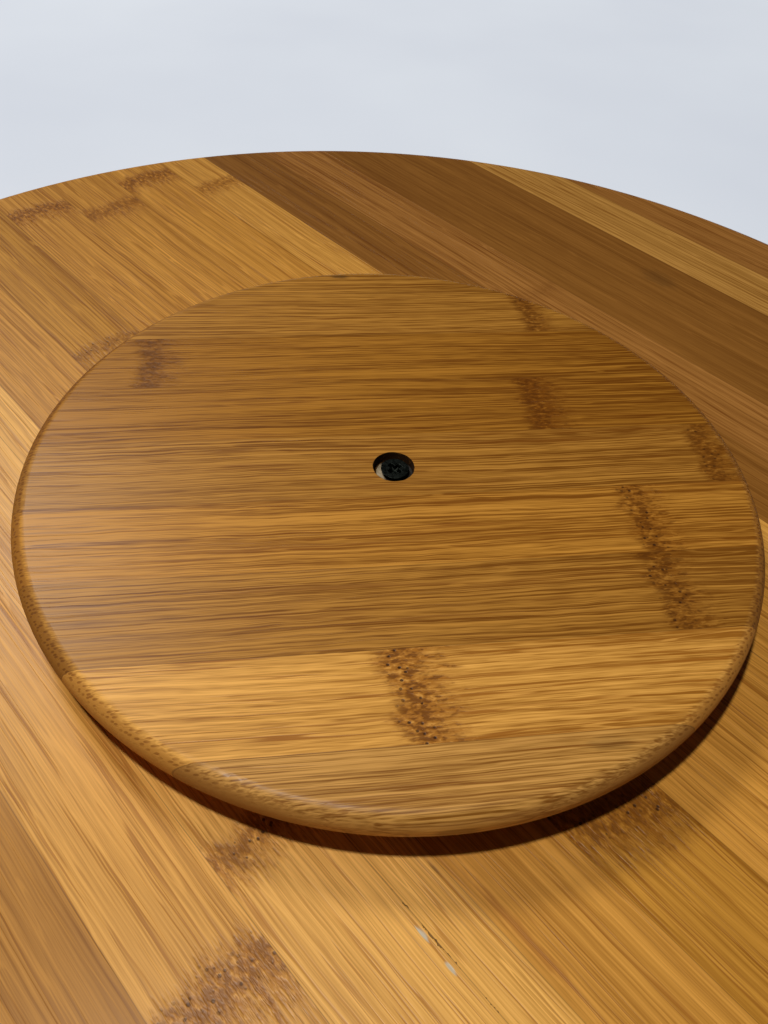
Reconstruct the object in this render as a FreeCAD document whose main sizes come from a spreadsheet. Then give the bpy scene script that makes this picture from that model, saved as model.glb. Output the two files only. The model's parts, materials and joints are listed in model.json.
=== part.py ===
import FreeCAD, Part
import math
import os
import Sketcher

# Lazy susan turntable, lying upside down: the tray rests on its serving face,
# the base disc is uppermost, and Z is the axis that they turn about.

doc = FreeCAD.newDocument("lazy_susan")

# Driving dimensions, in millimetres, degrees and plain counts.
DIMENSIONS = {
    # tray: a disc glued up from slats
    "tray_diameter": 390.0,
    "tray_thickness": 15.0,
    "tray_edge_radius": 5.0,
    "tray_slats": 21,
    "tray_thin_slat": 8,         # two slats are narrower than the rest, counted from one side
    "tray_thin_share": 0.44,     # of a whole slat's width
    "tray_slim_slat": 14,
    "tray_slim_share": 0.78,
    "tray_blank_trim": 23.2,     # width of the glued blank that the round cut takes away
    "tray_seam_shift": 4.45,     # middle of the blank, sideways from the turning axis
    "tray_grain_angle": -43.4,
    # base: the small disc that stands on the table in use
    "base_diameter": 165.0,
    "base_thickness": 7.0,
    "base_edge_radius": 3.2,
    "base_slats": 9,
    "base_blank_trim": 13.0,
    "base_seam_shift": 0.9,
    "base_grain_angle": 11.1,
    # thrust bearing
    "ball_diameter": 5.0,
    "ball_count": 24,
    "ball_circle": 110.0,
    "ball_play": 0.1,            # between a ball and the bottom of each groove
    "groove_depth": 0.6,
    "groove_ease": 0.25,         # groove radius over ball radius
    "race_thickness": 1.5,
    "race_inside": 7.0,          # ring's width inside the ball circle
    "race_outside": 13.0,        # ring's width outside it
    "cage_width": 10.0,
    "cage_thickness": 2.4,
    "pocket_play": 0.08,         # between a ball and its pocket
    # small screws that hold each race to its disc
    "race_screws": 4,
    "race_screw_edge": 4.5,      # from the ring's rim to a screw's middle
    "race_screw_angle": 45.0,    # first screw, from the grain
    "race_screw_shank": 2.5,
    "race_screw_head": 5.0,
    "tray_screw_length": 10.0,
    "base_screw_length": 5.5,
    "small_cross_span": 2.6,
    "small_cross_width": 0.8,
    "small_cross_depth": 0.9,
    # pivot in the middle
    "pivot_shank": 3.5,
    "pivot_head": 6.6,
    "pivot_length": 22.0,
    "pivot_recess": 0.6,         # screw head below the base's face
    "pivot_cross_span": 3.7,
    "pivot_cross_width": 1.1,
    "pivot_cross_depth": 1.3,
    "head_angle": 90.0,          # full cone angle of every screw head
    "tip_length": 3.0,
    "sleeve_wall": 1.2,
    "washer_outer": 8.4,
    "washer_ease": 0.35,         # washer's bore over the shank, on the radius
    "washer_thickness": 0.6,
    "end_float": 0.15,           # up and down play of the base on its pivot
    "counterbore_room": 0.5,     # counterbore over the washer, on the radius
    "counterbore_shift": -0.33,  # the counterbore is drilled a little off the axis
    # clearances on the radius
    "running_clearance": 0.05,
    "screw_clearance": 0.05,
}

sizes = doc.addObject("Spreadsheet::Sheet", "sizes")
for row, (alias, number) in enumerate(DIMENSIONS.items(), start=1):
    sizes.set("A%d" % row, alias)
    sizes.set("B%d" % row, str(number))
    sizes.setAlias("B%d" % row, alias)
doc.recompute()

# Heights along Z and shared sizes, each written once from the values above.
GAP = "(2 * sizes.race_thickness + sizes.ball_diameter + 2 * sizes.ball_play - 2 * sizes.groove_depth)"
BASE_BOTTOM = "(sizes.tray_thickness + %s)" % GAP
BASE_TOP = "(%s + sizes.base_thickness)" % BASE_BOTTOM
MID_GAP = "(sizes.tray_thickness + %s / 2)" % GAP
GROOVE_RADIUS = "(sizes.ball_diameter / 2 + sizes.groove_ease)"
RACE_BORE = "(sizes.ball_circle / 2 - sizes.race_inside)"
RACE_RIM = "(sizes.ball_circle / 2 + sizes.race_outside)"
RACE_SCREW_REACH = "(%s - sizes.race_screw_edge)" % RACE_RIM
HEAD_SLOPE = "tan(sizes.head_angle * 1 deg / 2)"
PIVOT_HOLE = "(sizes.pivot_shank / 2 + sizes.screw_clearance)"
SLEEVE_RIM = "(%s + sizes.sleeve_wall)" % PIVOT_HOLE
WASHER_BORE = "(sizes.pivot_shank / 2 + sizes.washer_ease)"
COUNTERBORE = "(sizes.washer_outer / 2 + sizes.counterbore_room)"
HEAD_STAND = "((sizes.pivot_head / 2 - %s) / %s + sizes.screw_clearance)" % (WASHER_BORE, HEAD_SLOPE)
COUNTERBORE_DEPTH = (
    "(sizes.pivot_recess + %s + sizes.washer_thickness + sizes.end_float)" % HEAD_STAND
)
SLEEVE_LENGTH = "(%s + sizes.base_thickness - %s + sizes.end_float)" % (GAP, COUNTERBORE_DEPTH)
RACE_SCREW_HOLE = "(sizes.race_screw_shank / 2 + sizes.screw_clearance)"
RACE_SCREW_SINK = "(sizes.race_screw_head / 2 + sizes.screw_clearance)"
# a head deeper than its race runs on into the wood
WOOD_SCREW_HOLE = "max(%s; %s - sizes.race_thickness * %s)" % (RACE_SCREW_HOLE, RACE_SCREW_SINK, HEAD_SLOPE)
PIVOT_TIP = "(%s - sizes.pivot_recess - sizes.pivot_length)" % BASE_TOP


def measure(expression):
    """The number that an expression on the sheet gives."""
    return float(sizes.evalExpression(expression))


def origin_feature(body, role):
    """The body's own origin plane or axis with that role."""
    return next(f for f in body.Origin.OriginFeatures if f.Role == role)


def new_body(label, several=False):
    """An empty body; one that holds several separate solids says so."""
    body = doc.addObject("PartDesign::Body", label)
    body.Label = label
    body.AllowCompound = several
    return body


def flat_sketch(body, name, level):
    """A sketch parallel to the body's XY plane, at a height."""
    sketch = body.newObject("Sketcher::SketchObject", name)
    sketch.AttachmentSupport = (origin_feature(body, "XY_Plane"), [""])
    sketch.MapMode = "FlatFace"
    sketch.setExpression("AttachmentOffset.Base.z", level)
    return sketch


def upright_sketch(body, name):
    """A sketch on the body's XZ plane: across is X and up is Z."""
    sketch = body.newObject("Sketcher::SketchObject", name)
    sketch.AttachmentSupport = (origin_feature(body, "XZ_Plane"), [""])
    sketch.MapMode = "FlatFace"
    return sketch


def fix_point(sketch, edge, end, across, up):
    """Ties one point of an edge to two expressions, measured from the sketch's origin."""
    for kind, axis, expression in (("DistanceX", -2, across), ("DistanceY", -1, up)):
        number = measure(expression)
        if number == 0:
            sketch.addConstraint(Sketcher.Constraint("PointOnObject", edge, end, axis))
            continue
        index = sketch.addConstraint(Sketcher.Constraint(kind, -1, 1, edge, end, number))
        sketch.setExpression("Constraints[%d]" % index, expression)


def add_circle(sketch, across, up, radius):
    """A circle whose centre and radius are expressions."""
    middle = FreeCAD.Vector(measure(across), measure(up), 0)
    edge = sketch.addGeometry(Part.Circle(middle, FreeCAD.Vector(0, 0, 1), measure(radius)), False)
    fix_point(sketch, edge, 3, across, up)
    index = sketch.addConstraint(Sketcher.Constraint("Radius", edge, measure(radius)))
    sketch.setExpression("Constraints[%d]" % index, radius)


def add_outline(sketch, corners):
    """Fills an empty sketch with a closed outline through corners given as pairs of expressions."""
    points = [FreeCAD.Vector(measure(across), measure(up), 0) for across, up in corners]
    count = len(points)
    for i in range(count):
        sketch.addGeometry(Part.LineSegment(points[i], points[(i + 1) % count]), False)
    for i in range(count):
        sketch.addConstraint(Sketcher.Constraint("Coincident", i, 2, (i + 1) % count, 1))
        fix_point(sketch, i, 1, *corners[i])


def add_cross(sketch, across, span, width):
    """The outline of a cross recess, with its middle on the X axis."""
    tip = "%s / 2" % span
    side = "%s / 2" % width
    corners = []
    for cosine, sine in ((1, 0), (0, 1), (-1, 0), (0, -1)):
        for x, y in ((tip, side), (side, side), (side, tip)):
            corners.append((
                "%s + (%d) * %s - (%d) * %s" % (across, cosine, x, sine, y),
                "(%d) * %s + (%d) * %s" % (sine, x, cosine, y),
            ))
    add_outline(sketch, corners)


def pad(body, sketch, length):
    """A pad of the sketch, upward."""
    feature = body.newObject("PartDesign::Pad", sketch.Name + "_pad")
    feature.Profile = sketch
    feature.setExpression("Length", length)
    doc.recompute()
    return feature


def pocket(body, sketch, depth, upward=False):
    """A pocket that must take material away."""
    doc.recompute()
    before = body.Shape.Volume
    feature = body.newObject("PartDesign::Pocket", sketch.Name + "_pocket")
    feature.Profile = sketch
    feature.Reversed = upward
    feature.setExpression("Length", depth)
    doc.recompute()
    if not body.Shape.Volume < before:
        raise RuntimeError("%s cuts nothing" % feature.Name)
    return feature


def turn(body, sketch, kind="PartDesign::Revolution", axis=None):
    """A full turn of the sketch about the body's Z axis, or about another axis."""
    feature = body.newObject(kind, sketch.Name + "_turn")
    feature.Profile = sketch
    feature.ReferenceAxis = axis or (origin_feature(body, "Z_Axis"), [""])
    feature.Angle = 360
    doc.recompute()
    return feature


def repeat_round(body, features, occurrences):
    """Repeats features evenly about the body's Z axis and makes that the body's result."""
    pattern = body.newObject("PartDesign::PolarPattern", body.Name + "_round_%d" % len(body.Group))
    pattern.Originals = features
    pattern.Axis = (origin_feature(body, "Z_Axis"), [""])
    pattern.Angle = 360
    pattern.setExpression("Occurrences", occurrences)
    body.Tip = pattern
    doc.recompute()
    return pattern


def ring_corners(inner, outer, low, high):
    """The section of a plain ring, as pairs of expressions."""
    return [(inner, low), (outer, low), (outer, high), (inner, high)]


def bolt_place(angle):
    """Expressions for a point on the race screws' circle."""
    return tuple("%s * %s(%s * 1 deg)" % (RACE_SCREW_REACH, wave, angle) for wave in ("cos", "sin"))


def wooden_disc(name, level, diameter, thickness, edge_radius):
    """A turned disc with both its rims rounded."""
    body = new_body(name)
    outline = flat_sketch(body, name + "_outline", level)
    add_circle(outline, "0", "0", "%s / 2" % diameter)
    blank = pad(body, outline, thickness)
    rims = [
        "Edge%d" % number
        for number, edge in enumerate(blank.Shape.Edges, start=1)
        if isinstance(edge.Curve, Part.Circle)
    ]
    rounding = body.newObject("PartDesign::Fillet", name + "_rounding")
    rounding.Base = (blank, rims)
    rounding.setExpression("Radius", "min(%s; 0.49 * %s)" % (edge_radius, thickness))
    doc.recompute()
    return body


def drill(body, name, level, radius, depth, across="0", up="0", upward=False):
    """A round hole that starts at a height and runs down, or upward."""
    mouth = flat_sketch(body, name, level)
    add_circle(mouth, across, up, radius)
    return pocket(body, mouth, depth, upward)


def saw_into_slats(disc, prefix, low, thickness, narrow=None):
    """Splits a disc along its glue lines into slats that touch face to face, some of them narrow."""
    slats, trim, shift, grain, diameter = (
        "sizes.%s_%s" % (prefix, word)
        for word in ("slats", "blank_trim", "seam_shift", "grain_angle", "diameter")
    )
    blank_width = "(%s + %s)" % (diameter, trim)
    shares = ["1"] * round(measure(slats))
    for number, share in (narrow or {}).items():
        shares[number - 1] = share
    whole = "(%s / (%s))" % (blank_width, " + ".join(shares))
    names = []
    for i, share in enumerate(shares):
        before = " + ".join(["0"] + shares[:i])
        strip = doc.addObject("Part::Box", "%s_strip_%02d" % (prefix, i + 1))
        strip.setExpression("Length", blank_width)
        strip.setExpression("Width", "%s * %s" % (share, whole))
        strip.setExpression("Height", thickness)
        strip.setExpression("Placement.Base.x", "-%s / 2" % blank_width)
        strip.setExpression("Placement.Base.y", "%s - %s / 2 + (%s) * %s" % (shift, blank_width, before, whole))
        strip.setExpression("Placement.Base.z", low)
        slat = doc.addObject("Part::Common", "%s_slat_%02d" % (prefix, i + 1))
        slat.Label = slat.Name
        slat.Base = disc
        slat.Tool = strip
        slat.setExpression("Placement.Rotation.Angle", "%s * 1 deg" % grain)
        names.append(slat.Name)
    return names


def make_tray():
    """The tray, with pilot holes for the pivot screw and the screws of its race."""
    disc = wooden_disc(
        "tray_disc", "0", "sizes.tray_diameter", "sizes.tray_thickness", "sizes.tray_edge_radius"
    )
    drill(
        disc, "tray_pivot_hole", "sizes.tray_thickness", PIVOT_HOLE,
        "sizes.tray_thickness - %s" % PIVOT_TIP
    )
    hole = drill(
        disc, "tray_race_hole", "sizes.tray_thickness", WOOD_SCREW_HOLE,
        "sizes.tray_screw_length - sizes.race_thickness", *bolt_place("sizes.race_screw_angle")
    )
    repeat_round(disc, [hole], "sizes.race_screws")
    narrow = {
        round(measure("sizes.tray_thin_slat")): "sizes.tray_thin_share",
        round(measure("sizes.tray_slim_slat")): "sizes.tray_slim_share",
    }
    return saw_into_slats(disc, "tray", "0", "sizes.tray_thickness", narrow)


def make_base():
    """The base, bored for the sleeve and counterbored for the screw head."""
    disc = wooden_disc(
        "base_disc", BASE_BOTTOM, "sizes.base_diameter", "sizes.base_thickness", "sizes.base_edge_radius"
    )
    drill(disc, "base_bore", BASE_TOP, "%s + sizes.running_clearance" % SLEEVE_RIM, "sizes.base_thickness")
    drill(
        disc, "base_counterbore", BASE_TOP, COUNTERBORE, COUNTERBORE_DEPTH,
        across="sizes.counterbore_shift"
    )
    hole = drill(
        disc, "base_race_hole", BASE_BOTTOM, WOOD_SCREW_HOLE,
        "sizes.base_screw_length - sizes.race_thickness",
        *bolt_place("sizes.race_screw_angle"), upward=True
    )
    repeat_round(disc, [hole], "sizes.race_screws")
    return saw_into_slats(disc, "base", BASE_BOTTOM, "sizes.base_thickness")


def make_race(label, low, groove_level, face, away, grain):
    """A steel ring with the ball groove on one face and countersunk holes from that face."""
    body = new_body(label)
    section = upright_sketch(body, label + "_section")
    high = "%s + sizes.race_thickness" % low
    add_outline(section, ring_corners(RACE_BORE, RACE_RIM, low, high))
    turn(body, section)
    track = upright_sketch(body, label + "_track")
    add_circle(track, "sizes.ball_circle / 2", groove_level, GROOVE_RADIUS)
    turn(body, track, "PartDesign::Groove")
    place = bolt_place("sizes.race_screw_angle")
    upward = away > 0
    hole = drill(body, label + "_hole", face, RACE_SCREW_HOLE, "sizes.race_thickness", *place, upward=upward)
    sink = drill(
        body, label + "_sink", face, RACE_SCREW_SINK,
        "(sizes.race_screw_head - sizes.race_screw_shank) / 2 / %s" % HEAD_SLOPE, *place, upward=upward
    )
    sink.setExpression("TaperAngle", "-sizes.head_angle / 2")
    doc.recompute()
    repeat_round(body, [hole, sink], "sizes.race_screws")
    body.setExpression("Placement.Rotation.Angle", "%s * 1 deg" % grain)
    return [label]


def make_cage():
    """The plastic ring that spaces the balls."""
    body = new_body("ball_cage")
    section = upright_sketch(body, "cage_section")
    low = "%s - sizes.cage_thickness / 2" % MID_GAP
    high = "%s + sizes.cage_thickness / 2" % MID_GAP
    inner = "(sizes.ball_circle - sizes.cage_width) / 2"
    outer = "(sizes.ball_circle + sizes.cage_width) / 2"
    add_outline(section, ring_corners(inner, outer, low, high))
    turn(body, section)
    hole = drill(
        body, "cage_pocket", high, "sizes.ball_diameter / 2 + sizes.pocket_play",
        "sizes.cage_thickness", across="sizes.ball_circle / 2"
    )
    repeat_round(body, [hole], "sizes.ball_count")
    return ["ball_cage"]


def make_balls():
    """The ring of balls, each a solid of its own."""
    body = new_body("bearing_balls", several=True)
    section = upright_sketch(body, "ball_section")
    reach = "sizes.ball_circle / 2"
    radius = "sizes.ball_diameter / 2"
    low = FreeCAD.Vector(measure(reach), measure("%s - %s" % (MID_GAP, radius)), 0)
    high = FreeCAD.Vector(measure(reach), measure("%s + %s" % (MID_GAP, radius)), 0)
    middle = FreeCAD.Vector(measure(reach), measure(MID_GAP), 0)
    circle = Part.Circle(middle, FreeCAD.Vector(0, 0, 1), measure(radius))
    arc = section.addGeometry(Part.ArcOfCircle(circle, -math.pi / 2, math.pi / 2), False)
    chord = section.addGeometry(Part.LineSegment(high, low), False)
    section.addConstraint(Sketcher.Constraint("Coincident", arc, 2, chord, 1))
    section.addConstraint(Sketcher.Constraint("Coincident", chord, 2, arc, 1))
    fix_point(section, arc, 3, reach, MID_GAP)
    fix_point(section, chord, 2, reach, "%s - %s" % (MID_GAP, radius))
    section.addConstraint(Sketcher.Constraint("Vertical", chord))
    ball = turn(body, section, axis=(section, ["Edge2"]))
    repeat_round(body, [ball], "sizes.ball_count")
    return ["bearing_balls"]


def screw_profile(across, top, away, head, shank, length, tip):
    """Half the section of a countersunk screw, from its axis outward."""
    def at(distance):
        return "%s + (%d) * (%s)" % (top, away, distance)

    cone = "(%s - %s) / 2 / %s" % (head, shank, HEAD_SLOPE)
    return [
        (across, at("0")),
        ("%s + %s / 2" % (across, head), at("0")),
        ("%s + %s / 2" % (across, shank), at(cone)),
        ("%s + %s / 2" % (across, shank), at("%s - %s" % (length, tip))),
        (across, at(length)),
    ]


def make_race_screws(label, face, away, length, grain):
    """The small screws of one race, flush with its face, as one group."""
    body = new_body(label, several=True)
    across = RACE_SCREW_REACH
    section = upright_sketch(body, label + "_section")
    add_outline(section, screw_profile(
        across, face, away, "sizes.race_screw_head", "sizes.race_screw_shank", length,
        "sizes.tip_length / 2"
    ))
    last = len(section.Geometry)
    screw = turn(body, section, axis=(section, ["Edge%d" % last]))
    recess = flat_sketch(body, label + "_recess", face)
    add_cross(recess, across, "sizes.small_cross_span", "sizes.small_cross_width")
    cross = pocket(body, recess, "sizes.small_cross_depth", upward=away > 0)
    repeat_round(body, [screw, cross], "sizes.race_screws")
    body.setExpression("Placement.Rotation.Angle", "(%s + sizes.race_screw_angle) * 1 deg" % grain)
    return [label]


def make_pivot_screw():
    """The black screw in the middle of the base's face, driven through the sleeve into the tray."""
    body = new_body("pivot_screw")
    section = upright_sketch(body, "pivot_section")
    top = "%s - sizes.pivot_recess" % BASE_TOP
    add_outline(section, screw_profile(
        "0", top, -1, "sizes.pivot_head", "sizes.pivot_shank", "sizes.pivot_length", "sizes.tip_length"
    ))
    turn(body, section)
    recess = flat_sketch(body, "pivot_recess", top)
    add_cross(recess, "0", "sizes.pivot_cross_span", "sizes.pivot_cross_width")
    pocket(body, recess, "sizes.pivot_cross_depth")
    return ["pivot_screw"]


def make_turned_ring(label, inner, outer, low, thickness):
    """A plain ring about the turning axis, such as a washer or a sleeve."""
    body = new_body(label)
    section = upright_sketch(body, label + "_section")
    add_outline(section, ring_corners(inner, outer, low, "%s + %s" % (low, thickness)))
    turn(body, section)
    return [label]


tray_top = "sizes.tray_thickness"
tray_race_face = "(sizes.tray_thickness + sizes.race_thickness)"
base_race_face = "(%s - sizes.race_thickness)" % BASE_BOTTOM
groove_lift = "(%s - sizes.groove_depth)" % GROOVE_RADIUS

nodes = []
nodes += make_tray()
nodes += make_base()
nodes += make_race(
    "tray_race", tray_top, "%s + %s" % (tray_race_face, groove_lift), tray_race_face, -1,
    "sizes.tray_grain_angle"
)
nodes += make_race(
    "base_race", base_race_face, "%s - %s" % (base_race_face, groove_lift), base_race_face, 1,
    "sizes.base_grain_angle"
)
nodes += make_cage()
nodes += make_balls()
nodes += make_race_screws(
    "tray_race_screws", tray_race_face, -1, "sizes.tray_screw_length", "sizes.tray_grain_angle"
)
nodes += make_race_screws(
    "base_race_screws", base_race_face, 1, "sizes.base_screw_length", "sizes.base_grain_angle"
)
nodes += make_turned_ring(
    "pivot_sleeve", PIVOT_HOLE, SLEEVE_RIM, tray_top, SLEEVE_LENGTH
)
nodes += make_turned_ring(
    "pivot_washer", WASHER_BORE, "sizes.washer_outer / 2",
    "%s + %s" % (tray_top, SLEEVE_LENGTH), "sizes.washer_thickness"
)
nodes += make_pivot_screw()
doc.recompute()

failed = [o.Name for o in doc.Objects if "Invalid" in o.State or "Error" in o.State]
for name in nodes:
    shape = doc.getObject(name).Shape
    if shape.isNull() or not shape.isValid():
        failed.append(name)
if failed:
    raise RuntimeError("these did not build: " + ", ".join(failed))

os.makedirs("parts", exist_ok=True)
for name in nodes:
    part = doc.getObject(name)
    part.Shape.exportStep("parts/%s.step" % part.Label)
print("%d nodes" % len(nodes))
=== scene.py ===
import json
import math
from functools import partial
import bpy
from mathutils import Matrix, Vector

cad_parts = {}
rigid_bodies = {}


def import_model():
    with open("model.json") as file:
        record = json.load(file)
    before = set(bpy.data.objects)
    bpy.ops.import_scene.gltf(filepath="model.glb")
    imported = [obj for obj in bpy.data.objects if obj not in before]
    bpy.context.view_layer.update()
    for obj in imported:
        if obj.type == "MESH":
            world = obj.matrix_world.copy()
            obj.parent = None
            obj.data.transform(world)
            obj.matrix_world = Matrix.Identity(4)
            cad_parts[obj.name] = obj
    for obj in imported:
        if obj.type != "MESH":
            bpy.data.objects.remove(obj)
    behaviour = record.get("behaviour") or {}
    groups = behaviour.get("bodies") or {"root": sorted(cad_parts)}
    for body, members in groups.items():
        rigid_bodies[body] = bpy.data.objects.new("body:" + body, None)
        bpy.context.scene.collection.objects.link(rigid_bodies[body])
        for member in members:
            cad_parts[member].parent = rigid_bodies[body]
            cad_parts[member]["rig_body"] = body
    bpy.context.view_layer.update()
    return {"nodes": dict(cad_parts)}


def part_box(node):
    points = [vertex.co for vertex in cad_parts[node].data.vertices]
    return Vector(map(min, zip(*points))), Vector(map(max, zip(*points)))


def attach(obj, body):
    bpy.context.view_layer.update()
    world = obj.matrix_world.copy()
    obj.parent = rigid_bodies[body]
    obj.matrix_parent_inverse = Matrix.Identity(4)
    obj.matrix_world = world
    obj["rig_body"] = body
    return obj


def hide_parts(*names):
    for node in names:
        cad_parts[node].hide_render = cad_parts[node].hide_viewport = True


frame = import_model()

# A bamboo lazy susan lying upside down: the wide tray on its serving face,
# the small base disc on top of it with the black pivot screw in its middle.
from types import SimpleNamespace

import bpy
import numpy as np
from mathutils import Matrix, Vector

mm = 0.001


def say(text):
    print("scene:", text)


def linearColour(code):
    # sRGB hex to the linear colour that shaders want
    parts = [int(code[i:i + 2], 16) / 255 for i in (1, 3, 5)]
    return [c / 12.92 if c <= 0.04045 else ((c + 0.055) / 1.055) ** 2.4 for c in parts] + [1.0]


def newMaterial(name):
    material = bpy.data.materials.new(name)
    material.use_nodes = True
    material.node_tree.nodes.remove(material.node_tree.nodes["Principled BSDF"])
    return material


def addNode(material, kind, settings=None, *inputs):
    # settings are the node's own properties, or its inputs by name or number; further inputs
    # go to its sockets in order. An input that is another node's output is linked to it.
    node = material.node_tree.nodes.new("ShaderNode" + kind)
    for key, value in {**(settings or {}), **dict(enumerate(inputs))}.items():
        if isinstance(key, str) and hasattr(node, key):
            setattr(node, key, value)
        elif isinstance(value, bpy.types.NodeSocket):
            material.node_tree.links.new(value, node.inputs[key])
        else:
            node.inputs[key].default_value = value
    return node.outputs


def finishMaterial(material, settings):
    shader = addNode(material, "BsdfPrincipled", settings)["BSDF"]
    output = material.node_tree.nodes["Material Output"]
    material.node_tree.links.new(shader, output.inputs["Surface"])
    return material


def setRamp(node, stops):
    ramp = node.color_ramp
    while len(ramp.elements) < len(stops):
        ramp.elements.new(1.0)
    for element, (place, colour) in zip(ramp.elements, stops):
        element.position = place
        element.color = colour


# the camera stands close over the near edge and looks down at the base disc
cameraValues = {
    "eye": (0.0, -138.8 * mm, 161.9 * mm),
    "turn": -0.66,   # degrees off the Y axis
    "tilt": 46.88,   # degrees down
    "roll": 5.05,
    "lens": 29.88,   # mm
    "frame": 36.0,   # mm across
}


def makeCamera(values):
    turn, tilt, roll = (math.radians(values[word]) for word in ("turn", "tilt", "roll"))
    forward = Vector((
        math.sin(turn) * math.cos(tilt), math.cos(turn) * math.cos(tilt), -math.sin(tilt)
    ))
    level = Vector((math.cos(turn), -math.sin(turn), 0.0))
    upright = level.cross(forward)
    right = math.cos(roll) * level + math.sin(roll) * upright
    up = math.cos(roll) * upright - math.sin(roll) * level
    data = bpy.data.cameras.new("camera")
    data.lens = values["lens"]
    data.sensor_width = values["frame"]
    data.clip_start, data.clip_end = 0.01, 20.0
    camera = bpy.data.objects.new("camera", data)
    camera.matrix_world = (
        Matrix.Translation(values["eye"]) @ Matrix((right, up, -forward)).transposed().to_4x4()
    )
    bpy.context.scene.collection.objects.link(camera)
    bpy.context.scene.camera = camera


makeCamera(cameraValues)
say("camera placed")

lightValues = {
    # name: place and aim in mm, width in mm, watts, colour
    "ceilingLamp": ((-110, -118, 640), (0, 0, 20), 40, 2.3, "#FFF4E8"),
    "windowFar": ((-1080, 1210, 1810), (0, 0, 20), 480, 18.0, "#FBF6F0"),
    "floorWash": ((0, 0, 25000), (0, 0, 0), 10000, 4600.0, "#EEF2F8"),   # on the floor alone
}
skyValues = {"colour": "#E9EEF5", "light": 0.02, "seen": 0.66}   # dim as a light, pale to look at


def makeLight(lamps, sky):
    for name, (place, aim, width, watts, colour) in lamps.items():
        place, aim = Vector(place) * mm, Vector(aim) * mm
        data = bpy.data.lights.new(name, "AREA")
        data.shape = "DISK"
        data.size = width * mm
        data.energy = watts
        data.color = linearColour(colour)[:3]
        lamp = bpy.data.objects.new(name, data)
        lamp.location = place
        lamp.rotation_euler = (place - aim).to_track_quat("Z", "Y").to_euler()
        bpy.context.scene.collection.objects.link(lamp)
    world = bpy.data.worlds.new("paleRoom")
    world.use_nodes = True
    backdrop = world.node_tree.nodes["Background"]
    backdrop.inputs["Color"].default_value = linearColour(sky["colour"])
    ray = addNode(world, "LightPath")["Is Camera Ray"]
    strength = addNode(world, "MapRange", {0: ray, 3: sky["light"], 4: sky["seen"]})[0]
    world.node_tree.links.new(strength, backdrop.inputs["Strength"])
    bpy.context.scene.world = world
    bpy.context.scene.view_settings.view_transform = "Standard"


makeLight(lightValues, skyValues)
say("lamps hung")


# Moso bamboo, sawn into slats, glued, turned, sanded and varnished satin: straight fibre
# bundles 0.3 to 1 mm wide, dark as streaks along the faces and as dots on the end grain,
# and a darker mottled band with small pits where each stem had a joint.
bambooValues = {
    # patterns, in mm along and across the fibres
    "broad": (140.0, 4.0),
    "middle": (110.0, 1.1),
    "fine": (70.0, 0.42),
    "short": (7.0, 0.3),
    "darkFibre": (120.0, 1.8),       # thin dark lines, about this far apart
    "paleFibre": (90.0, 3.4),
    "patch": (34.0, 1.6),            # where the dark lines come and go
    "sway": (90.0, 30.0),            # the fibres' own slow bends, ripples and curls
    "ripple": (9.0, 3.0),
    "curl": (4.5, 2.6),
    "wander": (40.0, 5.0),           # the ragged course of a joint
    "dash": (5.0, 0.6),              # the feathered ends of a joint, and of marks
    "spot": (1.9, 0.85),             # the curly spots in a joint
    "chip": (2.2, 40.0),             # the broken edge of a cracked glue line
    "bundle": (0.8, 0.8),            # bundles of fibres on the end grain
    "pit": (1.5, 1.25),
    "seedStep": (7.31, 3.17, 1.93),  # how far a slat's seed moves each pattern
    # mm that each of these pushes the fibres, a joint's edge or the crack aside
    "swayBy": 3.5,
    "curlBy": 2.4,
    "wanderBy": 6.0,
    "chipBy": (2.4, -0.12),          # and how far inside the slat the crack's edge starts
    "rippleBy": 0.3,
    "markRagged": 0.9,               # how ragged a mark's edge is, and the darkened wall's
    "scorchAndShadeRagged": 0.3,
    "coreSpots": 0.07,               # how many more dark spots a joint has along its middle
    "seam": (0.14, 0.042),           # mm from the edge where a glue line ends and is darkest
    # relief in mm
    "grainRelief": (0.015, 0.02),    # of the middle and the fine streaks
    "dotRelief": -0.03,
    "pitRelief": -0.04,
    "spotRelief": -0.12,
    "crackRelief": -0.2,
    # colours as shares of a slat's own shade: darkest and lightest fibres, thin lines, the
    # ends of the fibres, and a joint's ground and spots
    "dark": (0.52, 0.41, 0.24),
    "light": (1.42, 1.50, 1.75),
    "fibreInk": (0.50, 0.34, 0.14),
    "endInk": (0.42, 0.30, 0.18),
    # the end grain's ground: darker as its own colour, and darker still as painted shade on the rim
    "endGroundAndShade": (0.82, 0.75, 0.68),
    "joint": (0.62, 0.49, 0.30),
    "blot": (0.25, 0.16, 0.07),
    "pitInk": "#331A0A",
    "seamInk": "#4A2A0F",
    "soot": "#3B2A18",
    "crack": "#4E3418",
    "rust": "#A0601F",
    "filler": "#D3CAB2",
    "burnt": "#1E0F06",              # the walls of the drilled hole: the drill's scorch and painted shade in the recess
    "varnish": {"IOR": 1.45, "Specular IOR Level": 0.34},
    "roughness": (0.38, 0.2),        # and how much the fine streaks change it
    "openGrain": 0.3,                # how much rougher open end grain is, as it drinks the varnish
}

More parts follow.
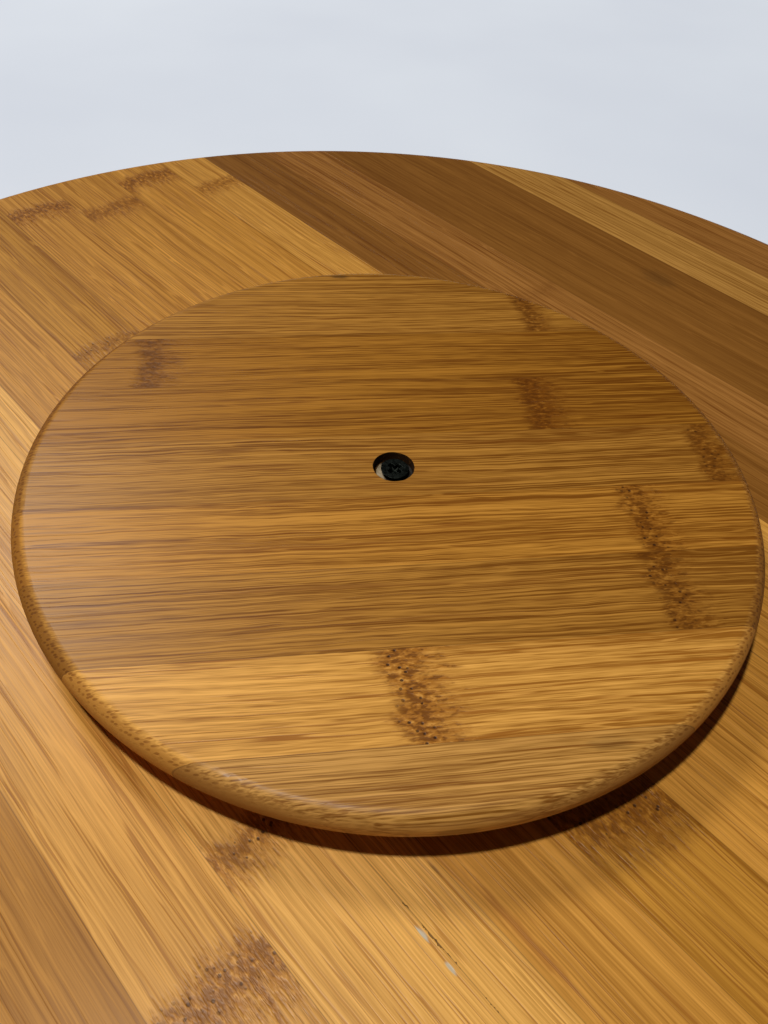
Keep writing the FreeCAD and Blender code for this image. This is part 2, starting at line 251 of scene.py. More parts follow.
# where each soft step between two looks starts and ends
bambooSteps = {
    # shares of a joint's width: from where to where each side fades, and how ragged it is
    "sharpSide": (-0.55, -0.1, 0.7),
    "fadingSide": (0.9, 0.05, 1.6),
    "core": (0.42, 0.2, 0.1),        # the same for its middle, and how far that is shifted
    # how level the surface lies, and how strong streaks and dots are from there to there
    "calm": (0.4, 0.9, 0.4, 1.0),
    "polished": (0.45, 0.75, 0.1, 1.0),
    # how much it faces along the fibres, where the end grain starts to show and to feel rough
    "endGrain": (0.16, 0.42),
    "matt": (0.03, 0.22, 0.0),
    "tone": (0.05, 0.5, 0.95),       # the streaks' darkest, middle and lightest
    "darkFibre": (0.03, 0.0105),     # either side of a noise's middle value
    "paleFibre": (0.016, 0.0056),
    "patch": (0.30, 0.58),
    "dot": (0.36, 0.20),             # shares of a cell, from its edge inwards
    "pit": (0.30, 0.16),
    "pitLot": (0.30, 0.36),          # cells that draw less than this have no pit
    "blot": (0.49, 0.65),
    "fleck": (0.42, 0.30),
    "mark": (0.62, 0.2),             # shares of a mark's own size
    "burnt": (0.1, 0.0),             # mm outside the hole's wall
    "crackEnd": (0.0, 5.0),          # mm in from the crack's ends
    "crackEdge": (0.0, 0.1),         # mm across it
}
# how strongly each ink covers what is under it, where a slat doesn't say
bambooCover = {
    "smudge": 0.85, "spots": 0.6, "fleck": 0.5, "pits": 0.5, "endInk": 0.8, "hair": 0.4,
    "glue": 0.4, "cracked": 0.7, "burnt": 0.9,
}

# the shades that sorted slats come in, pale to dark
bambooShades = {
    "cream": "#E6AE55",
    "straw": "#D89F48",
    "honey": "#CC923C",
    "gold": "#C28A32",
    "sand": "#BD8B42",
    "amber": "#B37C2C",
    "caramel": "#A8752B",
    "russet": "#A57134",
    "toffee": "#9E6A1F",
    "brown": "#906026",
}

# the sums between patterns, and the soft step between two values
plus, minus, times, timesPlus, larger, smaller, unsigned = (
    {"operation": word}
    for word in ("ADD", "SUBTRACT", "MULTIPLY", "MULTIPLY_ADD", "MAXIMUM", "MINIMUM", "ABSOLUTE")
)
soft = {"interpolation_type": "SMOOTHSTEP"}


def seeded(wood, vector, pattern):
    # a pattern's own space: stretched to its size, and starting elsewhere on each slat
    along, across = bambooValues[pattern]
    return wood.node("Mapping", {
        "Vector": vector,
        "Scale": (1 / along, 1 / across, 1 / across),
        "Location": [wood.slat["seed"] * step for step in bambooValues["seedStep"]],
    })[0]


def noise(wood, vector, pattern, detail, roughness=0.5):
    return wood.node("TexNoise", {
        "Vector": seeded(wood, vector, pattern), "Scale": 1.0, "Detail": detail, "Roughness": roughness
    })["Fac"]


def evened(wood, value, amount):
    # a noise turned to run evenly either side of zero
    return wood.node("Math", times, wood.node("Math", minus, value, 0.5)[0], amount)[0]


def shade(wood, word):
    return [part * share for part, share in zip(wood.tint, bambooValues[word])] + [1.0]


def cover(wood, word):
    # how strongly an ink covers this slat
    return wood.slat.get(word, bambooCover[word])


def woodSpace(material, disc, slat):
    # what all of a slat's patterns share: places in mm along, across and up from its fibres,
    # how level the surface lies, and how much it faces along the fibres
    node = partial(addNode, material)
    turn = math.radians(discValues[disc]["grain"])
    place = node("TexCoord")
    grain = node("Mapping", {
        "Vector": place["Object"], "Scale": (1 / mm, 1 / mm, 1 / mm), "Rotation": (0.0, 0.0, -turn)
    })[0]
    along, across, up = node("SeparateXYZ", {}, grain)
    tilt = node("SeparateXYZ", {}, place["Normal"])[2]
    facing = node("VectorMath", {"operation": "DOT_PRODUCT"}, place["Normal"], (
        math.cos(turn), math.sin(turn), 0.0
    ))["Value"]
    wood = SimpleNamespace(
        node=node, slat=slat, look=discValues[disc], grain=grain, along=along, across=across, up=up,
        level=node("Math", unsigned, tilt)[0], endOn=node("Math", unsigned, facing)[0],
        tint=linearColour(bambooShades[slat["shade"]]),
    )
    wood.dash = noise(wood, grain, "dash", 2.0, 0.6)
    wood.spots = noise(wood, grain, "spot", 2.0, 0.6)
    return wood


def stemJoints(wood):
    # each joint is sharp on one side and fades out along the fibres on the other: how much of
    # a joint is at each place, and how near the middle of one it lies
    node = wood.node
    wander = evened(wood, noise(wood, wood.grain, "wander", 1.0), bambooValues["wanderBy"])
    bands, core = 0.0, 0.0
    for where, width, strength, lean in wood.slat.get("joints", ()):
        middle = node("Math", timesPlus, wood.across, lean, where)[0]
        apart = node("Math", plus, node("Math", minus, wood.along, middle)[0], wander)[0]
        band = strength
        for side in ("sharpSide", "fadingSide"):
            start, end, ragged = (share * width for share in bambooSteps[side])
            edge = node("Math", plus, apart, evened(wood, wood.dash, ragged))[0]
            band = node("Math", times, node("MapRange", soft, edge, start, end)[0], band)[0]
        bands = node("Math", larger, bands, band)[0]
        start, end, shift = (share * width for share in bambooSteps["core"])
        inner = node("Math", unsigned, node("Math", plus, apart, shift)[0])[0]
        core = node("Math", larger, core, node("MapRange", soft, inner, start, end)[0])[0]
    return bands, core


def fibreSpace(wood, bands):
    # the fibres sway slowly, ripple, and curl round each other in a joint
    node = wood.node
    sway = evened(wood, noise(wood, wood.grain, "sway", 1.0), bambooValues["swayBy"])
    rippleBy = wood.slat.get("ripple", bambooValues["rippleBy"])
    ripple = evened(wood, noise(wood, wood.grain, "ripple", 1.0), rippleBy)
    curl = evened(wood, noise(wood, wood.grain, "curl", 1.0), bambooValues["curlBy"])
    aside = node("Math", plus, sway, ripple)[0]
    aside = node("Math", timesPlus, curl, bands, aside)[0]
    swayed = node("Math", plus, wood.across, aside)[0]
    return swayed, node("CombineXYZ", {}, wood.along, swayed, wood.up)[0]


def fibreTone(wood, fibres):
    # streaks of four sizes added up, softer on the steep of the rim, which is sanded smooth
    node, tone, streaks = wood.node, 0.5, {}
    for pattern, detail, roughness in (
        ("broad", 2.0, 0.5), ("middle", 3.0, 0.6), ("fine", 2.0, 0.6), ("short", 1.0, 0.5)
    ):
        streaks[pattern] = noise(wood, fibres, pattern, detail, roughness)
        amount = wood.slat.get(pattern, wood.look[pattern])
        tone = node("Math", plus, tone, evened(wood, streaks[pattern], amount))[0]
    calm = node("MapRange", soft, wood.level, *bambooSteps["calm"])[0]
    tone = node("Math", timesPlus, node("Math", minus, tone, 0.5)[0], calm, 0.5)[0]
    # painted light and shade: the tone rises or falls steadily along the grain, lighter on the side where
    # the light falls more strongly
    tone = node("Math", timesPlus, wood.along, wood.look["paintedLightDrift"], tone)[0]
    colour = node("ValToRGB", {}, tone)[0]
    shades = (shade(wood, "dark"), wood.tint, shade(wood, "light"))
    setRamp(colour.node, list(zip(bambooSteps["tone"], shades)))
    return colour, streaks


# Each of the next functions gives what it paints over the slat, as (how strongly, colour), and
# what it cuts into it, as (how strongly, mm).

def thinFibres(wood, fibres):
    # a thin crisp fibre lies where a long smooth noise passes its middle value
    def thread(pattern):
        field = noise(wood, fibres, pattern, 2.0, 0.55)
        away = wood.node("Math", unsigned, wood.node("Math", minus, field, 0.5)[0])[0]
        return wood.node("MapRange", soft, away, *bambooSteps[pattern])[0]

    patchy = wood.node("MapRange", soft, noise(wood, fibres, "patch", 1.0), *bambooSteps["patch"])[0]
    line = wood.node("Math", times, thread("darkFibre"), patchy)[0]
    line = wood.node("Math", times, line, wood.slat.get("line", wood.look["line"]))[0]
    hair = wood.node("Math", times, thread("paleFibre"), cover(wood, "hair"))[0]
    return (
        [(line, shade(wood, "fibreInk")), (hair, shade(wood, "light"))],
        [(line, bambooValues["dotRelief"])],
    )


def rimDots(wood, swayed):
    # where the fibres come out of the rim each bundle shows as a dark dot, but sanding closes
    # the bundles on the steep of the rim
    node = wood.node
    endGrain = node("MapRange", soft, wood.endOn, *bambooSteps["endGrain"])[0]
    section = node("CombineXYZ", {}, swayed, wood.up)[0]
    cell = node("TexVoronoi", {
        "voronoi_dimensions": "2D", "Vector": seeded(wood, section, "bundle"),
        "Scale": 1.0, "Randomness": 0.75
    })["Distance"]
    dot = node("Math", times, node("MapRange", soft, cell, *bambooSteps["dot"])[0], endGrain)[0]
    polished = node("MapRange", soft, wood.level, *bambooSteps["polished"])[0]
    dot = node("Math", times, dot, polished)[0]
    inked = node("Math", times, dot, cover(wood, "endInk"))[0]
    # the end grain's ground is partly its own darker colour and partly painted shade on the rim
    return (
        [(endGrain, shade(wood, "endGroundAndShade")), (inked, shade(wood, "endInk"))],
        [(dot, bambooValues["dotRelief"])],
    )


def jointMarks(wood, bands, core):
    # a joint's smudged ground, its dark spots and pale flecks, and the pits along its middle
    node = wood.node
    if "joints" not in wood.slat:
        return [], []
    spotted = node("Math", timesPlus, core, bambooValues["coreSpots"], wood.spots)[0]
    blot = node("Math", times, bands, node("MapRange", soft, spotted, *bambooSteps["blot"])[0])[0]
    fleck = node("MapRange", soft, wood.spots, *bambooSteps["fleck"])[0]
    fleck = node("Math", times, bands, fleck)[0]
    cell = node("TexVoronoi", {"Vector": seeded(wood, wood.grain, "pit"), "Scale": 1.0})
    lot = node("SeparateColor", {}, cell["Color"])[0]   # leaves some of the cells without a pit
    pit = node("MapRange", soft, cell["Distance"], *bambooSteps["pit"])[0]
    pit = node("Math", times, pit, node("MapRange", soft, lot, *bambooSteps["pitLot"])[0])[0]
    pit = node("Math", times, pit, cover(wood, "pits"))[0]
    pit = node("Math", times, pit, node("Math", times, core, bands)[0])[0]
    return (
        [
            (node("Math", times, bands, cover(wood, "smudge"))[0], shade(wood, "joint")),
            (node("Math", times, blot, cover(wood, "spots"))[0], shade(wood, "blot")),
            (node("Math", times, fleck, cover(wood, "fleck"))[0], shade(wood, "light")),
            (pit, linearColour(bambooValues["pitInk"])),
        ],
        [
            (pit, bambooValues["pitRelief"]),
            (node("Math", times, wood.spots, bands)[0], bambooValues["spotRelief"]),
        ],
    )


def handMarks(wood, fibres):
    # a mark is strongest in its middle and has feathered edges
    node, layers = wood.node, []
    for along, across, length, breadth, strength, ink in wood.slat.get("marks", ()):
        offset = node("Mapping", {
            "Vector": fibres,
            "Location": (-along / length, -across / breadth, 0.0),
            "Scale": (1 / length, 1 / breadth, 0.0),
        })[0]
        reach = node("VectorMath", {"operation": "LENGTH"}, offset)["Value"]
        reach = node("Math", plus, reach, evened(wood, wood.dash, bambooValues["markRagged"]))[0]
        patch = node("MapRange", soft, reach, *bambooSteps["mark"])[0]
        patch = node("Math", times, patch, strength)[0]
        layers.append((patch, linearColour(bambooValues[ink])))
    return layers, []


def glueLines(wood, span):
    # thin dark lines along both sides of the slat, one of them cracked open in a broken line
    node, seam = wood.node, bambooValues["seam"]
    low = node("Math", minus, wood.across, span[0])[0]
    high = node("Math", minus, span[1], wood.across)[0]
    glue = node("MapRange", soft, node("Math", smaller, low, high)[0], *seam)[0]
    glue = node("Math", times, glue, cover(wood, "glue"))[0]
    layers = [(glue, linearColour(bambooValues["seamInk"]))]
    if "crack" not in wood.slat:
        return layers, []
    side, start, end = wood.slat["crack"]
    chipBy, inset = bambooValues["chipBy"]
    edge = evened(wood, noise(wood, wood.grain, "chip", 3.0, 0.7), chipBy)
    edge = node("Math", plus, edge, inset)[0]
    for gap in (node("Math", minus, wood.along, start)[0], node("Math", minus, end, wood.along)[0]):
        there = node("MapRange", soft, gap, *bambooSteps["crackEnd"])[0]
        edge = node("Math", times, edge, there)[0]
    broken = node("Math", minus, edge, high if side == "high" else low)[0]
    broken = node("MapRange", soft, broken, *bambooSteps["crackEdge"])[0]
    parted = node("Math", times, broken, cover(wood, "cracked"))[0]
    layers.append((parted, linearColour(bambooValues["crack"])))
    return layers, [(broken, bambooValues["crackRelief"])]


def boreWall(wood):
    # the hole's wall is painted near black: scorched by the drill, and painted shade in the recess
    if "bore" not in wood.slat:
        return [], []
    node, (shift, radius) = wood.node, wood.slat["bore"]
    spot = node("CombineXYZ", {}, node("Math", minus, wood.along, shift)[0], wood.across)[0]
    reach = node("VectorMath", {"operation": "LENGTH"}, spot)["Value"]
    reach = node("Math", plus, reach, evened(wood, wood.dash, bambooValues["scorchAndShadeRagged"]))[0]
    outside = node("Math", minus, reach, radius)[0]
    scorchedAndShaded = node("MapRange", soft, outside, *bambooSteps["burnt"])[0]
    scorchedAndShaded = node("Math", times, scorchedAndShaded, cover(wood, "burnt"))[0]
    return [(scorchedAndShaded, linearColour(bambooValues["burnt"]))], []


def bamboo(name, disc, slat, span):
    # slat holds this slat's own look, span its two glue lines in mm across the grain
    material = newMaterial(name)
    wood = woodSpace(material, disc, slat)
    node = wood.node
    bands, core = stemJoints(wood)
    swayed, fibres = fibreSpace(wood, bands)
    colour, streaks = fibreTone(wood, fibres)
    relief = list(zip((streaks["middle"], streaks["fine"]), bambooValues["grainRelief"]))
    for layers, cuts in (
        thinFibres(wood, fibres), rimDots(wood, swayed), jointMarks(wood, bands, core),
        handMarks(wood, fibres), glueLines(wood, span), boreWall(wood)
    ):
        for mask, ink in layers:
            colour = node("Mix", {"data_type": "RGBA", 0: mask, 6: colour, 7: ink})[2]
        relief += cuts
    height = 0.0
    for mask, depth in relief:
        height = node("Math", timesPlus, mask, depth, height)[0]
    matt = node("MapRange", soft, wood.endOn, *bambooSteps["matt"], bambooValues["openGrain"])[0]
    roughness, change = bambooValues["roughness"]
    rough = node("Math", plus, evened(wood, streaks["fine"], change), roughness)[0]
    return finishMaterial(material, {
        **bambooValues["varnish"],
        "Base Color": colour,
        "Roughness": node("Math", plus, matt, rough)[0],
        "Normal": node("Bump", {"Strength": 1.0, "Distance": mm, "Height": height})[0],
    })


discValues = {
    # which way the fibres run in degrees, how strong the broad, middle, fine, short and thin
    # dark ones are, and a painted light-and-shade drift of the tone along them for each mm
    "tray": {
        "grain": -43.4, "broad": 0.7, "middle": 0.7, "fine": 1.1, "short": 0.35, "line": 0.6,
        "paintedLightDrift": 0.0004
    },
    "base": {
        "grain": 11.1, "broad": 0.7, "middle": 1.15, "fine": 2.8, "short": 1.1, "line": 0.6,
        "paintedLightDrift": -0.003
    },
}

# Each slat's own look: its shade, where its patterns start, its joints as (mm along the grain,
# width, strength, lean), how smudged, spotted and pitted they are, how much its fibres ripple,
# how strong its streaks and hairs are where that differs from the rest, its marks as (mm along,
# mm across, length, width, strength, colour), its cracked glue line as (side, start, end), and
# its bore.
slatValues = {
    "base_slat_01": {
        "shade": "sand", "seed": 1.3, "marks": [(29.0, -71.0, 9.0, 3.0, 0.25, "soot")]
    },
    "base_slat_02": {
        "shade": "straw", "seed": 2.7, "joints": [(-10.0, 12.0, 1.0, -0.1)], "pits": 0.9,
        "smudge": 0.95, "spots": 0.85, "fine": 1.3, "line": 0.8
    },
    "base_slat_03": {
        "shade": "caramel", "seed": 3.9, "joints": [(48.5, 10.0, 0.95, -0.07)], "pits": 0.9,
        "smudge": 0.7, "spots": 0.75, "ripple": 0.7
    },
    "base_slat_04": {
        "shade": "amber", "seed": 4.4, "joints": [(52.0, 10.0, 0.95, -0.03)], "pits": 0.9,
        "smudge": 0.7, "spots": 0.75, "ripple": 0.7
    },
    "base_slat_05": {
        "shade": "caramel", "seed": 5.2, "joints": [(75.0, 9.0, 1.0, 0.0)], "pits": 0.6, "ripple": 0.6,
        "bore": (-0.33, 4.7)   # mm off the axis along the grain, and the hole's radius
    },
    "base_slat_06": {
        "shade": "toffee", "seed": 6.1, "joints": [(38.0, 10.0, 1.0, 0.0)], "pits": 0.3, "smudge": 1.0
    },
    "base_slat_07": {"shade": "toffee", "seed": 7.5, "joints": [(-56.0, 10.0, 0.8, 0.0)], "pits": 0.3},
    "base_slat_08": {"shade": "caramel", "seed": 8.8, "joints": [(45.0, 8.0, 1.0, 0.0)], "pits": 0.4},
    "base_slat_09": {
        "shade": "caramel", "seed": 9.6,
        "marks": [(-6.0, 78.5, 6.0, 2.0, 0.6, "soot"), (-31.0, 72.5, 12.0, 0.9, 0.3, "soot")]
    },
    "tray_slat_15": {"shade": "brown", "middle": 0.5, "fine": 0.7},
    "tray_slat_16": {"shade": "russet", "joints": [(-40.0, 8.0, 0.2, 0.0)]},
    "tray_slat_17": {"shade": "brown", "middle": 0.5, "fine": 0.6, "line": 0.2},
    "tray_slat_18": {
        "shade": "brown", "marks": [(-21.0, 140.0, 14.0, 9.0, 0.25, "soot")],
        "middle": 0.4, "fine": 0.6, "line": 0.2
    },
    "tray_slat_19": {"shade": "sand"},
    "tray_slat_20": {"shade": "russet"},
    "tray_slat_21": {"shade": "brown"},
    "tray_slat_14": {"shade": "straw", "joints": [(-158.0, 10.0, 0.8, 0.0)]},
    "tray_slat_13": {"shade": "honey", "joints": [(-176.0, 11.0, 1.0, 0.0)]},
    "tray_slat_12": {"shade": "honey", "joints": [(-164.0, 11.0, 0.8, 0.0)]},
    "tray_slat_11": {"shade": "honey", "joints": [(-176.0, 11.0, 1.0, 0.0)]},
    "tray_slat_10": {
        "shade": "gold", "joints": [(-97.0, 8.0, 0.6, 0.0), (89.7, 13.0, 0.9, 0.4)], "pits": 0.9
    },
    "tray_slat_09": {"shade": "honey", "marks": [(85.0, -48.6, 26.0, 2.2, 0.5, "rust")]},
    "tray_slat_08": {
        "shade": "cream", "crack": ("low", 60.0, 92.0), "hair": 0.7,
        "marks": [(67.0, -51.4, 3.5, 0.7, 0.45, "soot")]
    },
    "tray_slat_07": {
        "shade": "cream", "joints": [(42.0, 9.0, 0.95, 0.0)], "pits": 0.9, "crack": ("high", 60.0, 92.0),
        "marks": [(73.0, -59.8, 3.4, 0.9, 1.0, "filler"), (79.5, -59.8, 2.4, 0.8, 0.9, "filler")]
    },
    "tray_slat_06": {"shade": "straw", "joints": [(59.0, 13.0, 1.0, 0.0)], "pits": 0.7},
    "tray_slat_05": {"shade": "amber"},
    "tray_slat_04": {"shade": "sand", "joints": [(-33.0, 9.0, 0.6, 0.0)]},
    "tray_slat_03": {"shade": "amber", "joints": [(66.0, 10.0, 0.6, 0.0)]},
    "tray_slat_02": {"shade": "gold", "joints": [(-61.0, 9.0, 0.5, 0.0)]},
    "tray_slat_01": {"shade": "amber"},
}


def acrossGrain(name, turn):
    # how far a slat reaches across the grain, in mm: its corners turned back by the grain's angle
    mesh = frame["nodes"][name].data
    corners = np.empty(len(mesh.vertices) * 3)
    mesh.vertices.foreach_get("co", corners)
    corners = corners.reshape(-1, 3)
    across = (corners[:, 1] * math.cos(turn) - corners[:, 0] * math.sin(turn)) / mm
    return across.min(), across.max()


def dressSlats():
    for name, slat in slatValues.items():
        disc, _, number = name.split("_")
        slat.setdefault("seed", 10.0 + int(number) * 1.37)
        span = acrossGrain(name, math.radians(discValues[disc]["grain"]))
        material = bamboo("varnishedBamboo_" + name, disc, slat, span)
        for slot in frame["nodes"][name].material_slots:
            slot.material = material


dressSlats()
say("bamboo slats dressed")


def coated(name, finish):
    # one finish for a small part: its colour wanders a little, with fine scratches or grain
    material = newMaterial(name)
    node = partial(addNode, material)
    place = node("TexCoord")["Object"]
    mottle = node("TexNoise", {"Vector": place, "Scale": 1 / mm / finish["mottle"], "Detail": 3.0})["Fac"]
    fine = node("TexNoise", {"Vector": place, "Scale": 1 / mm / finish["grit"], "Detail": 2.0})["Fac"]
    colour = node("ValToRGB", {}, mottle)[0]
    setRamp(colour.node, [(0.32, linearColour(finish["low"])), (0.68, linearColour(finish["high"]))])
    # painted shade: the whole part is black but the side towards the light
    if "shadedSide" in finish:
        toward, start, end, shadeInk = finish["shadedSide"]
        side = node("VectorMath", {"operation": "DOT_PRODUCT"}, place, (
            math.cos(math.radians(toward)) / mm, math.sin(math.radians(toward)) / mm, 0.0
        ))["Value"]
        cover = node("MapRange", soft, side, start, end)[0]
        colour = node("Mix", {"data_type": "RGBA", 0: cover, 6: colour, 7: linearColour(shadeInk)})[2]
    rough, spread = finish["rough"], finish["spread"]
    return finishMaterial(material, {
        **finish["shader"],
        "Base Color": colour,
        "Roughness": node("MapRange", {0: mottle, 3: rough - spread, 4: rough + spread})[0],
        "Normal": node("Bump", {"Strength": 1.0, "Distance": finish["depth"] * mm, "Height": fine})[0],
    })


# each finish: mottle and grit in mm, two colours it wanders between, roughness and its spread,
# how deep the grit is in mm, and what stays the same all over
finishValues = {
    # cold-rolled steel pressed into rings, blue-white zinc plate: bright, faintly clouded
    "zincPlatedSteel": {
        "mottle": 2.2, "grit": 0.12, "low": "#A9ABAA", "high": "#C9CAC6",
        "rough": 0.32, "spread": 0.10, "depth": 0.02, "shader": {"Metallic": 1.0}
    },
    # the same plate on small headed screws, barrel plated and a little duller
    "zincPlatedScrews": {
        "mottle": 0.9, "grit": 0.10, "low": "#94958F", "high": "#BDBDB4",
        "rough": 0.38, "spread": 0.10, "depth": 0.02, "shader": {"Metallic": 1.0}
    },
    # ground and polished bearing steel
    "polishedBearingSteel": {
        "mottle": 1.6, "grit": 0.08, "low": "#C4C6C8", "high": "#D8DADA",
        "rough": 0.12, "spread": 0.04, "depth": 0.002, "shader": {"Metallic": 1.0}
    },
    # free-cutting steel as it came off the lathe
    "turnedSteel": {
        "mottle": 0.8, "grit": 0.10, "low": "#8C8B86", "high": "#ACABA4",
        "rough": 0.30, "spread": 0.08, "depth": 0.02, "shader": {"Metallic": 1.0}
    },
    # black oxide over steel, oiled: nearly black, a soft sheen on the edges
    "blackOxideSteel": {
        "mottle": 0.7, "grit": 0.09, "low": "#121513", "high": "#2A2F2C",
        "rough": 0.44, "spread": 0.10, "depth": 0.02, "shader": {"Metallic": 1.0}
    },
    # undyed nylon, punched from sheet and greyed with dust, painted black as shade except on the one side
    # the light reaches
    "dustyShadedNylon": {
        "mottle": 1.1, "grit": 0.14, "low": "#8A7C62", "high": "#B5A78A",
        "rough": 0.55, "spread": 0.08, "depth": 0.02, "shader": {"IOR": 1.53},
        # degrees towards the lit side, mm from the axis where the painted shade starts and ends, and its
        # colour
        "shadedSide": (195.0, 3.0, 2.2, "#15100A")
    },
    # injection-moulded nylon ring that spaces the balls, white with a fine satin skin
    "mouldedNylon": {
        "mottle": 5.0, "grit": 0.25, "low": "#DAD8D0", "high": "#EAE8E2",
        "rough": 0.42, "spread": 0.06, "depth": 0.01, "shader": {"IOR": 1.53}
    },
}
finishes = {name: coated(name, finish) for name, finish in finishValues.items()}

for nodeName, finishName in (
    ("tray_race", "zincPlatedSteel"), ("base_race", "zincPlatedSteel"),
    ("bearing_balls", "polishedBearingSteel"), ("ball_cage", "mouldedNylon"),
):
    for materialSlot in frame["nodes"][nodeName].material_slots:
        materialSlot.material = finishes[finishName]
say("bearing dressed")


def joined(rings, closedEnds):
    # rings of points skinned row to row; the ends meet in a pole each, or each other
    rows, columns, _ = rings.shape
    points = rings.reshape(-1, 3)
    row, column = np.meshgrid(np.arange(rows), np.arange(columns), indexing="ij")
    corner = row * columns + column
    beside = row * columns + (column + 1) % columns
    faces = np.stack([corner, beside, np.roll(beside, -1, 0), np.roll(corner, -1, 0)], axis=-1)
    if not closedEnds:
        return points, faces.reshape(-1, 4).tolist()
    first, last = len(points), len(points) + 1
    points = np.vstack([points, rings[0].mean(0), rings[-1].mean(0)])
    start = np.stack([np.full(columns, first), beside[0], corner[0]], axis=-1)
    end = np.stack([np.full(columns, last), corner[-1], beside[-1]], axis=-1)
    return points, faces[:-1].reshape(-1, 4).tolist() + start.tolist() + end.tolist()


def outward(points, faces):
    # turns the faces round if the volume they enclose comes out negative
    halves = [face[:3] for face in faces] + [face[::2] + face[3:] for face in faces if len(face) > 3]
    a, b, c = ((points - points.mean(0))[np.array(halves)[:, side]] for side in range(3))
    volume = np.einsum("ij,ij->i", a, np.cross(b, c)).sum()
    return faces if volume > 0 else [face[::-1] for face in faces]


def makePiece(name, shapes, finishName, node):
    # several closed shapes become one piece that rides where its CAD node does
    points, faces, count = [], [], 0
    for shapePoints, shapeFaces in shapes:
        faces += [[index + count for index in face] for face in outward(shapePoints, shapeFaces)]
        points.append(shapePoints * mm)
        count += len(shapePoints)
    mesh = bpy.data.meshes.new(name)
    mesh.from_pydata(np.vstack(points).tolist(), [], faces)
    mesh.polygons.foreach_set("use_smooth", np.ones(len(mesh.polygons), dtype=bool))
    mesh.materials.append(finishes[finishName])
    piece = bpy.data.objects.new(name, mesh)
    bpy.context.scene.collection.objects.link(piece)
    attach(piece, frame["nodes"][node]["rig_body"])
    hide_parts(node)
    return piece


pivotScrewValues = {
    "head": 6.6, "shank": 3.5, "length": 22.0, "tip": 3.0, "round": 0.2,
    "crossSpan": 3.7, "crossWidth": 1.1, "crossDepth": 1.3,
    "pitch": 1.5, "thread": 0.42, "plain": 9.0, "columns": 96, "faceRings": 44,
}
raceScrewValues = {
    "head": 5.0, "shank": 2.5, "length": 10.0, "tip": 1.5, "round": 0.15,
    "crossSpan": 2.6, "crossWidth": 0.8, "crossDepth": 0.9,
    "pitch": 1.0, "thread": 0.3, "plain": 1.0, "columns": 48, "faceRings": 20,
    "inset": 4.5,   # from the race's rim to the circle that the screws stand on
}
baseScrewValues = dict(raceScrewValues, length=5.5)   # the base is thin
screwDetail = {
    "crossFall": 0.6,   # how much shallower the cross is at the end of an arm
    "crossWall": 0.3,   # the share of an arm's width that its sloping wall takes
    "rimRows": 6, "coneRows": 8, "rowsPerTurn": 12,
    "flank": 1.25, "crest": 0.1,   # the thread's steepness, and its flat top
    "bluntness": 0.03,   # what is left of the radius at the tip
}


def screwShape(size, detail):
    # A countersunk screw hanging from its face at height 0. The face is sunk by the cross's
    # depth times a slope that falls from 1 at the middle of an arm to 0 at its wall, and is
    # shallower towards the arm's end. The rim is rounded into the 90 degree cone. Below
    # it the radius is the crest's, less the thread's depth times the distance from the crest,
    # where the crest climbs one pitch in each turn; the tip draws it in to a point.
    angle = np.linspace(0.0, 2 * np.pi, size["columns"], endpoint=False)
    head, shank, rounding = size["head"] / 2, size["shank"] / 2, size["round"]
    radius = np.linspace(0.0, head - rounding, size["faceRings"] + 1)[1:, None]
    x, y = radius * np.cos(angle), radius * np.sin(angle)
    reach, width = size["crossSpan"] / 2, size["crossWidth"] / 2
    inside = np.minimum(
        np.maximum(abs(x) / reach, abs(y) / width), np.maximum(abs(y) / reach, abs(x) / width)
    )
    sunk = size["crossDepth"] * np.clip((1 - inside) / detail["crossWall"], 0, 1)
    sunk = sunk * (1 - detail["crossFall"] * radius / reach)
    face = np.stack([x, y, -sunk], axis=-1)

    step = np.linspace(0.0, 1.0, detail["rimRows"])[1:]
    rimRadius = head - rounding * ((1 - step) ** 2 + step ** 2)
    rimDepth = step ** 2 * rounding
    coneDepth = np.linspace(rounding, head - shank, detail["coneRows"])[1:]
    profile = np.vstack([
        np.column_stack([rimRadius, rimDepth]), np.column_stack([head - coneDepth, coneDepth])
    ])
    collar = np.stack([
        profile[:, :1] * np.cos(angle), profile[:, :1] * np.sin(angle),
        np.repeat(-profile[:, 1:], size["columns"], axis=1)
    ], axis=-1)

    top, bottom = head - shank, size["length"]
    rows = int((bottom - top) / size["pitch"] * detail["rowsPerTurn"])
    depth = np.linspace(top, bottom, rows)[1:, None]
    phase = (depth / size["pitch"] + angle / (2 * np.pi)) % 1.0
    valley = np.clip(abs(2 * phase - 1) * detail["flank"] - detail["crest"], 0, 1)
    cut = size["thread"] * np.clip((depth - top - size["plain"]) / size["pitch"], 0, 1)
    point = np.clip((bottom - depth) / size["tip"], detail["bluntness"], 1)
    around = (shank - cut * valley) * point
    body = np.stack([around * np.cos(angle), around * np.sin(angle), -depth + 0 * angle], axis=-1)
    return joined(np.concatenate([face, collar, body]), True)


def makePivotScrew(values):
    points, faces = screwShape(values, screwDetail)
    turn = math.radians(discValues["tray"]["grain"])
    twisted = points @ np.array(Matrix.Rotation(turn, 3, "Z")).T
    twisted[:, 2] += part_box("pivot_screw")[1][2] / mm
    makePiece("pivotScrew", [(twisted, faces)], "blackOxideSteel", "pivot_screw")


def makeRaceScrews(name, node, values, disc, upward):
    # four screws on a circle, 45 degrees off the grain, sunk flush with the race's face
    low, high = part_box(node)
    points, faces = screwShape(values, screwDetail)
    face = low[2] if upward else high[2]
    if upward:
        points = points * (1, 1, -1)
    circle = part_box(disc + "_race")[1][0] / mm - values["inset"]
    shapes = []
    for quarter in range(4):
        turn = math.radians(discValues[disc]["grain"] + 45 + 90 * quarter)
        placed = (points + (circle, 0, 0)) @ np.array(Matrix.Rotation(turn, 3, "Z")).T
        shapes.append((placed + (0, 0, face / mm), faces))
    makePiece(name, shapes, "zincPlatedScrews", node)


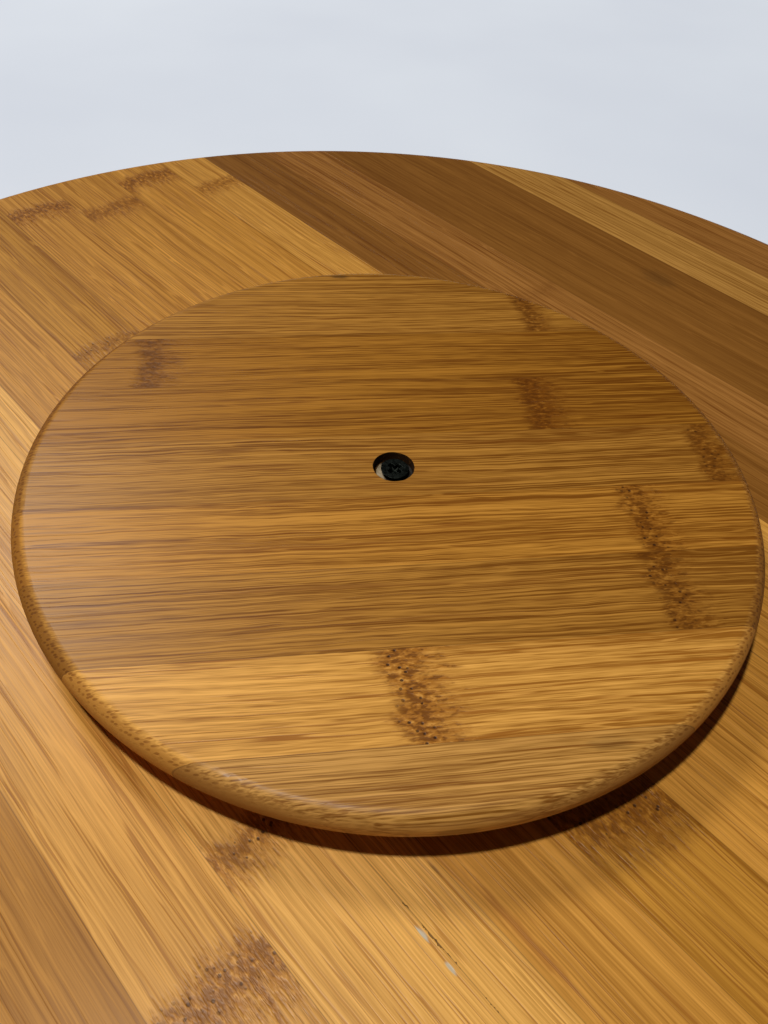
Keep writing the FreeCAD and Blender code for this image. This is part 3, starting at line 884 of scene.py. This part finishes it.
makePivotScrew(pivotScrewValues)
makeRaceScrews("trayRaceScrews", "tray_race_screws", raceScrewValues, "tray", False)
makeRaceScrews("baseRaceScrews", "base_race_screws", baseScrewValues, "base", True)
say("screws made")

washerValues = {"bore": 4.2, "softness": 0.3, "columns": 96, "section": 40}
sleeveValues = {"bore": 3.6, "softness": 0.16, "columns": 96, "section": 56}


def turnedRing(node, values):
    # A ring whose section is a superellipse: from its middle, half its width times the cosine
    # to the power of its softness, and half its height times the sine to the same power.
    low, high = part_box(node)
    outer, inner = high[0] / mm, values["bore"] / 2
    around = np.linspace(0.0, 2 * np.pi, values["columns"], endpoint=False)
    start = 0.02   # keeps the rows off the points where the sine or the cosine is nothing
    along = np.linspace(0.0, 2 * np.pi, values["section"], endpoint=False)[:, None] + start
    wide = np.sign(np.cos(along)) * abs(np.cos(along)) ** values["softness"]
    tall = np.sign(np.sin(along)) * abs(np.sin(along)) ** values["softness"]
    radius = (outer + inner) / 2 + (outer - inner) / 2 * wide
    height = (low[2] + high[2]) / 2 / mm + (high[2] - low[2]) / 2 / mm * tall
    rings = np.stack([radius * np.cos(around), radius * np.sin(around), height + 0 * around], axis=-1)
    return joined(rings, False)


makePiece(
    "pivotWasher", [turnedRing("pivot_washer", washerValues)], "dustyShadedNylon", "pivot_washer"
)
makePiece(
    "pivotSleeve", [turnedRing("pivot_sleeve", sleeveValues)], "turnedSteel", "pivot_sleeve"
)
say("washer and sleeve made")


floorValues = {
    "half": 8.0,           # m from the middle to each side
    "low": -0.2 * mm,      # the floor's height, just clear of the tray
    "mottle": 6.0,         # clouds in each metre
    "colours": ("#DDE1E8", "#E6EAEF"),
    "roughness": 0.9,
}


def floorCloth(values):
    # brushed cotton sheet, plain weave: matt and pale, hardly any texture at this distance
    material = newMaterial("paleCotton")
    place = addNode(material, "TexCoord")["Object"]
    clouds = addNode(material, "TexNoise", {
        "Vector": place, "Scale": values["mottle"], "Detail": 3.0
    })["Fac"]
    colour = addNode(material, "ValToRGB", {}, clouds)[0]
    setRamp(colour.node, list(zip((0.3, 0.7), map(linearColour, values["colours"]))))
    return finishMaterial(material, {"Roughness": values["roughness"], "Base Color": colour})


def makeFloor(values):
    half, low = values["half"], values["low"]
    mesh = bpy.data.meshes.new("floor")
    mesh.from_pydata(
        [(-half, -half, low), (half, -half, low), (half, half, low), (-half, half, low)],
        [], [(0, 1, 2, 3)]
    )
    mesh.materials.append(floorCloth(values))
    floor = bpy.data.objects.new("floor", mesh)
    bpy.context.scene.collection.objects.link(floor)
    # the wash lights the floor alone, and the lamp close overhead makes no bright pool on it
    for lampName, state in (("floorWash", "INCLUDE"), ("ceilingLamp", "EXCLUDE")):
        linked = bpy.data.collections.new(lampName + "Floor")
        linked.objects.link(floor)
        linked.collection_objects[0].light_linking.link_state = state
        bpy.data.objects[lampName].light_linking.receiver_collection = linked


makeFloor(floorValues)
say("floor laid")

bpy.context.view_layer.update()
say("sizes written")
